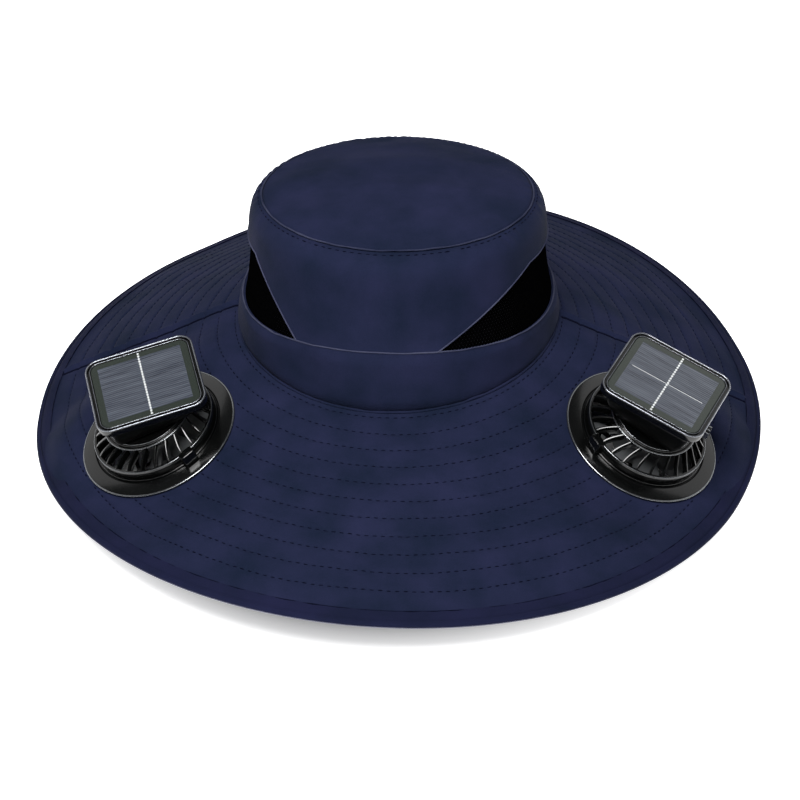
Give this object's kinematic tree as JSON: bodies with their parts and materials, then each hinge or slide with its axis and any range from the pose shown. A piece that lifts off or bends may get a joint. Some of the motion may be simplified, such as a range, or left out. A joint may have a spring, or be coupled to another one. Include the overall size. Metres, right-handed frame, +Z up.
{
  "type": "solar fan sun hat",
  "caption": "Wide-brimmed navy cloth sun hat with black mesh crown windows and solar-powered fan units set into the brim.",
  "frame": {"origin": "on the surface that the hat rests on, below the middle of its outline", "axes": "+Z up through the crown, -Y the way the wearer faces, +X towards the right-hand side of the picture"},
  "size_m": [0.42, 0.464, 0.1457],
  "materials": {
    "navy_cloth": "matt woven polyester, row-stitched on the brim",
    "edge_binding": "matt woven tape",
    "black_mesh": "open knitted mesh",
    "black_plastic": "glossy moulded",
    "blade_plastic": "satin moulded",
    "solar_glass": "glossy laminate over a silicon cell"
  },
  "bodies": {
    "hat": {"brim_back": "navy_cloth", "brim_binding": "edge_binding", "brim_front": "navy_cloth", "crown_back": "navy_cloth", "crown_band": "navy_cloth", "crown_front": "navy_cloth", "crown_top": "navy_cloth", "fan_cage_left": "black_plastic", "fan_cage_right": "black_plastic", "fan_flange_left": "black_plastic", "fan_flange_right": "black_plastic", "fan_guard_left": "black_plastic", "fan_guard_right": "black_plastic", "fan_housing_left": "black_plastic", "fan_housing_right": "black_plastic", "mesh_left": "black_mesh", "mesh_right": "black_mesh", "panel_frame_left": "black_plastic", "panel_frame_right": "black_plastic", "solar_cell_left": "solar_glass", "solar_cell_right": "solar_glass"},
    "impeller_left": {"impeller_left": "blade_plastic"},
    "impeller_right": {"impeller_right": "blade_plastic"}
  },
  "joints": [
    {"name": "fan_spin_left", "type": "hinge", "parent": "hat", "child": "impeller_left", "pos_m": [-0.12181, -0.09587, 0.03578], "axis": [-0.2833, -0.2566, 0.9241], "continuous": true},
    {"name": "fan_spin_right", "type": "hinge", "parent": "hat", "child": "impeller_right", "pos_m": [0.13816, -0.07041, 0.0293], "axis": [0.358, -0.2374, 0.9031], "continuous": true}
  ]
}
